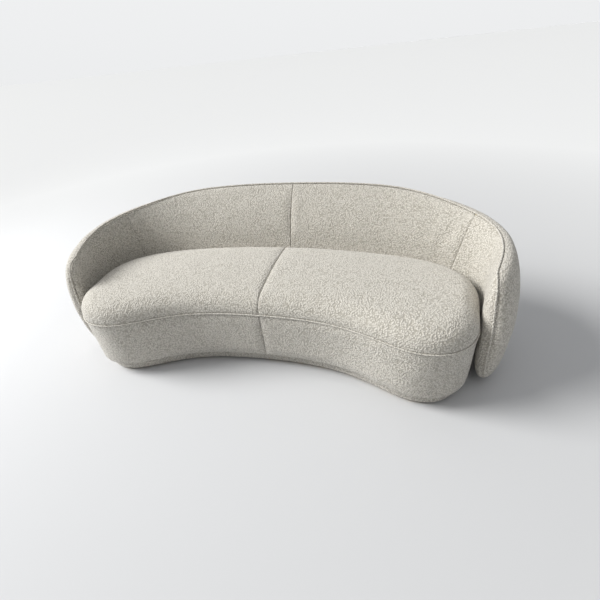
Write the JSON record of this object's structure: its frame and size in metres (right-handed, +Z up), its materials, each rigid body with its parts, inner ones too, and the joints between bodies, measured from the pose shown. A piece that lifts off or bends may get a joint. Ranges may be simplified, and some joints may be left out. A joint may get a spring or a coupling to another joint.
{
  "type": "curved upholstered sofa",
  "caption": "Bean-shaped upholstered sofa: crowned curved seat on a recessed plinth inside a low wrap-around back that ends in rounded arms.",
  "frame": {"origin": "on the floor under the middle of the overall plan", "axes": "+X along the sofa's length, to the right as seen from the front; +Z up; the front faces -Y"},
  "size_m": [2.3834, 1.0688, 0.7251],
  "materials": {
    "boucle": "looped boucle upholstery, warm light grey",
    "piping": "narrow stitched cord in the same cloth",
    "foam": "cut flexible foam",
    "wadding": "polyester fibre wadding",
    "plywood": "raw birch ply",
    "beech": "turned beech, oiled",
    "zinc_steel": "zinc plated",
    "webbing": "elastic webbing",
    "dust_cloth": "black non-woven cloth",
    "felt": "pressed felt"
  },
  "bodies": {
    "root": {"seat_top_cover_left": "boucle", "seat_top_cover_right": "boucle", "seat_side_band_left": "boucle", "seat_side_band_right": "boucle", "arm_cover_left": "boucle", "back_inner_cover_left": "boucle", "back_inner_cover_right": "boucle", "arm_cover_right": "boucle", "back_outer_cover_left": "boucle", "back_outer_cover_right": "boucle", "plinth_cover_left": "boucle", "plinth_cover_right": "boucle", "seat_raised_seam": "piping", "back_welt": "piping", "seat_foam_block": "foam", "seat_side_foam": "foam", "back_inner_foam": "foam", "back_outer_foam": "foam", "seat_top_wadding": "wadding", "seat_side_wadding": "wadding", "seat_base_board": "plywood", "seat_ring": "plywood", "seat_frame_ribs": "plywood", "seat_cross_rails": "plywood", "seat_side_panel": "plywood", "seat_joint_blocks": "plywood", "plinth_ring": "plywood", "back_inner_panel": "plywood", "back_outer_panel": "plywood", "back_bottom_rail": "plywood", "back_top_rail": "plywood", "back_uprights": "plywood", "back_joint_blocks": "plywood", "wooden_feet": "beech", "back_wooden_feet": "beech", "foot_hanger_bolts": "zinc_steel", "back_foot_bolts": "zinc_steel", "joint_bolts": "zinc_steel", "joint_washers": "zinc_steel", "joint_nuts": "zinc_steel", "seat_webbing": "webbing", "seat_dust_cloth": "dust_cloth", "back_dust_cloth": "dust_cloth", "felt_glides": "felt"}
  },
  "joints": []
}
